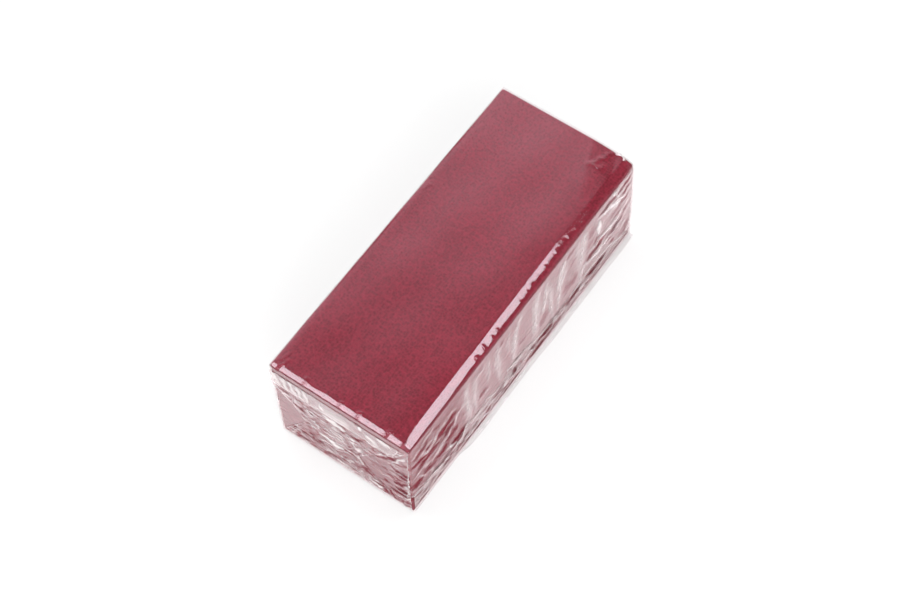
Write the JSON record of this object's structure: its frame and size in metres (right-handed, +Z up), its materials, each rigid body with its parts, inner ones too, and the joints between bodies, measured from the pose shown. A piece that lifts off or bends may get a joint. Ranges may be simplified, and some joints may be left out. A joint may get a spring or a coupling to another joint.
{
  "type": "wrapped stack of paper napkins",
  "caption": "Oblong stack of folded dark red paper napkins, sealed in a creased clear film wrap with envelope-folded ends, to lie flat on a shelf.",
  "frame": {"origin": "on the floor plane, below the middle of the pack's whole box, its creases and the seam's fin included", "axes": "+X along the pack's length, +Y towards the long side without the seam, +Z up from the underside that it lies on"},
  "size_m": [0.2036, 0.09, 0.0712],
  "materials": {
    "napkin_paper": "matt, finely embossed tissue, burgundy",
    "clear_film": "clear glossy thin film, creased"
  },
  "bodies": {
    "root": {"napkin_01": "napkin_paper", "napkin_02": "napkin_paper", "napkin_03": "napkin_paper", "napkin_04": "napkin_paper", "napkin_05": "napkin_paper", "napkin_06": "napkin_paper", "napkin_07": "napkin_paper", "napkin_08": "napkin_paper", "napkin_09": "napkin_paper", "napkin_10": "napkin_paper", "napkin_11": "napkin_paper", "napkin_12": "napkin_paper", "napkin_13": "napkin_paper", "napkin_14": "napkin_paper", "napkin_15": "napkin_paper", "napkin_16": "napkin_paper", "napkin_17": "napkin_paper", "napkin_18": "napkin_paper", "napkin_19": "napkin_paper", "napkin_20": "napkin_paper", "napkin_21": "napkin_paper", "napkin_22": "napkin_paper", "napkin_23": "napkin_paper", "napkin_24": "napkin_paper", "napkin_25": "napkin_paper", "napkin_26": "napkin_paper", "napkin_27": "napkin_paper", "napkin_28": "napkin_paper", "napkin_29": "napkin_paper", "napkin_30": "napkin_paper", "napkin_31": "napkin_paper", "napkin_32": "napkin_paper", "napkin_33": "napkin_paper", "napkin_34": "napkin_paper", "napkin_35": "napkin_paper", "napkin_36": "napkin_paper", "napkin_37": "napkin_paper", "napkin_38": "napkin_paper", "napkin_39": "napkin_paper", "napkin_40": "napkin_paper", "napkin_41": "napkin_paper", "napkin_42": "napkin_paper", "napkin_43": "napkin_paper", "napkin_44": "napkin_paper", "napkin_45": "napkin_paper", "napkin_46": "napkin_paper", "napkin_47": "napkin_paper", "napkin_48": "napkin_paper", "napkin_49": "napkin_paper", "napkin_50": "napkin_paper", "film_wrap": "clear_film"}
  },
  "joints": []
}
